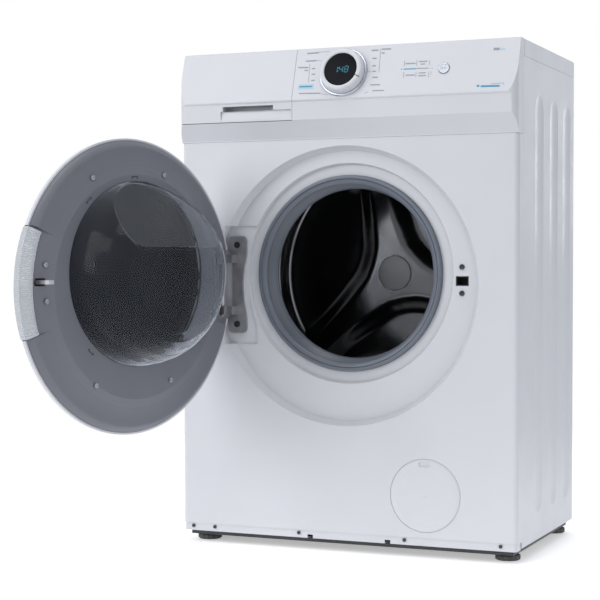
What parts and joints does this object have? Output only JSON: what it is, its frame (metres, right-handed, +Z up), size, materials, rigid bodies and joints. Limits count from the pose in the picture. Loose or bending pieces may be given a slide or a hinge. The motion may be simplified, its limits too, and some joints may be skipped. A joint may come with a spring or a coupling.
{
  "type": "front load washing machine",
  "caption": "Slim free-standing front loading washing machine with its round door open, detergent drawer, round selector with a display, and a perforated drum on a sprung tub.",
  "frame": {"origin": "on the floor, midway between the side panels and midway between the steel front panel and the back edges of the side panels", "axes": "+Z up, -Y out of the front, +X to the right of someone facing the front"},
  "size_m": [0.6707, 0.8321, 0.845],
  "materials": {
    "body_white": "gloss",
    "white_plastic": "gloss",
    "clear_plastic": "gloss",
    "galvanised": "satin",
    "black_plastic": "matte",
    "door_grey": "satin",
    "glass_bowl": "gloss",
    "dark_window": "gloss",
    "zinc": "satin",
    "chrome_trim": "polished",
    "display_black": "gloss",
    "tray_plastic": "satin",
    "blue_plastic": "satin",
    "tub_plastic": "satin",
    "concrete": "rough",
    "stainless": "polished",
    "cast_alu": "as cast",
    "bearing_steel": "ground",
    "rubber_grey": "satin",
    "rubber_black": "matte",
    "motor_metal": "satin",
    "board_green": "satin",
    "heater_steel": "satin"
  },
  "bodies": {
    "cabinet": {"side_left": "body_white", "side_right": "body_white", "front_panel": "body_white", "rear_panel": "galvanised", "rear_cover": "galvanised", "top_cover": "white_plastic", "base_frame": "black_plastic", "kick_strip": "body_white", "cross_braces": "galvanised", "control_fascia": "white_plastic", "control_board": "board_green", "knob_trim": "chrome_trim", "display_disc": "display_black", "dispenser_housing": "tub_plastic", "hinge_plate": "zinc", "hinge_pin": "bearing_steel", "panel_screws": "zinc", "door_lock": "black_plastic", "gasket": "rubber_grey", "damper_cylinders": "black_plastic", "filter_housing": "tub_plastic", "drain_pump": "black_plastic", "drain_hose": "tub_plastic", "inlet_valve": "white_plastic", "transit_caps": "tub_plastic"},
    "door": {"door_shell": "white_plastic", "door_window": "dark_window", "door_inner_frame": "door_grey", "door_glass": "glass_bowl", "door_handle": "clear_plastic", "door_hinge_arm": "zinc", "door_screws": "zinc"},
    "latch": {"latch_hook": "bearing_steel"},
    "knob": {"knob_ring": "white_plastic"},
    "start_key": {"start_button": "chrome_trim"},
    "drawer": {"drawer_front": "white_plastic", "drawer_tray": "tray_plastic", "softener_cap": "blue_plastic"},
    "tub": {"tub_front": "tub_plastic", "tub_rear": "tub_plastic", "counterweights": "concrete", "bearings": "bearing_steel", "belt": "rubber_black", "motor": "motor_metal", "heater": "heater_steel", "springs": "bearing_steel", "damper_rods": "bearing_steel", "sump_hose": "rubber_black", "dispenser_hose": "rubber_black"},
    "drum": {"drum": "stainless", "lifters": "tray_plastic", "drum_spider": "cast_alu", "drum_pulley": "cast_alu"},
    "rotor": {"motor_pulley": "bearing_steel"},
    "filter": {"pump_filter": "black_plastic"},
    "flap": {"filter_cover": "white_plastic"},
    "foot_a": {"foot_fl": "rubber_black"},
    "foot_b": {"foot_fr": "rubber_black"},
    "foot_c": {"foot_rl": "rubber_black"},
    "foot_d": {"foot_rr": "rubber_black"}
  },
  "joints": [
    {"name": "door_hinge", "type": "hinge", "parent": "cabinet", "child": "door", "pos_m": [-0.22, -0.191, 0.446], "axis": [0, 0, 1], "range_deg": [0, 106.5]},
    {"name": "latch_pivot", "type": "hinge", "parent": "door", "child": "latch", "pos_m": [-0.34177, -0.59505, 0.455], "axis": [0, 0, 1], "range_deg": [-6, 0], "stiffness_Nm_per_rad": 0.4},
    {"name": "selector_turn", "type": "hinge", "parent": "cabinet", "child": "knob", "pos_m": [0.0015, -0.1865, 0.8], "axis": [0, -0.9573, 0.289], "continuous": true},
    {"name": "start_press", "type": "slide", "parent": "cabinet", "child": "start_key", "axis": [0, 0.9573, -0.289], "range_m": [0, 0.0015], "stiffness_N_per_m": 600},
    {"name": "drawer_slide", "type": "slide", "parent": "cabinet", "child": "drawer", "axis": [0, -1, 0], "range_m": [0, 0.19]},
    {"name": "tub_float", "type": "slide", "parent": "cabinet", "child": "tub", "axis": [0, 0, 1], "range_m": [-0.008, 0.008], "stiffness_N_per_m": 16000, "springref_m": 0.01538, "deforming": ["springs", "gasket", "sump_hose", "dispenser_hose"]},
    {"name": "drum_spin", "type": "hinge", "parent": "tub", "child": "drum", "pos_m": [0.002, 0, 0.467], "axis": [0, 1, 0], "continuous": true},
    {"name": "motor_spin", "type": "hinge", "parent": "tub", "child": "rotor", "pos_m": [-0.02, 0.117, 0.138], "axis": [0, 1, 0], "continuous": true},
    {"name": "filter_turn", "type": "hinge", "parent": "cabinet", "child": "filter", "pos_m": [0.144, -0.143, 0.103], "axis": [0, -1, 0], "range_deg": [0, 270]},
    {"name": "flap_hinge", "type": "hinge", "parent": "cabinet", "child": "flap", "pos_m": [0.144, -0.1826, 0.0446], "axis": [1, 0, 0], "range_deg": [0, 80]},
    {"name": "foot_fl_screw", "type": "slide", "parent": "cabinet", "child": "foot_a", "axis": [0, 0, -1], "range_m": [0, 0.012]},
    {"name": "foot_fr_screw", "type": "slide", "parent": "cabinet", "child": "foot_b", "axis": [0, 0, -1], "range_m": [0, 0.012]},
    {"name": "foot_rl_screw", "type": "slide", "parent": "cabinet", "child": "foot_c", "axis": [0, 0, -1], "range_m": [0, 0.012]},
    {"name": "foot_rr_screw", "type": "slide", "parent": "cabinet", "child": "foot_d", "axis": [0, 0, -1], "range_m": [0, 0.012]}
  ],
  "couplings": [
    {"joint": "motor_spin", "follows": "drum_spin", "ratio": 15.333}
  ]
}
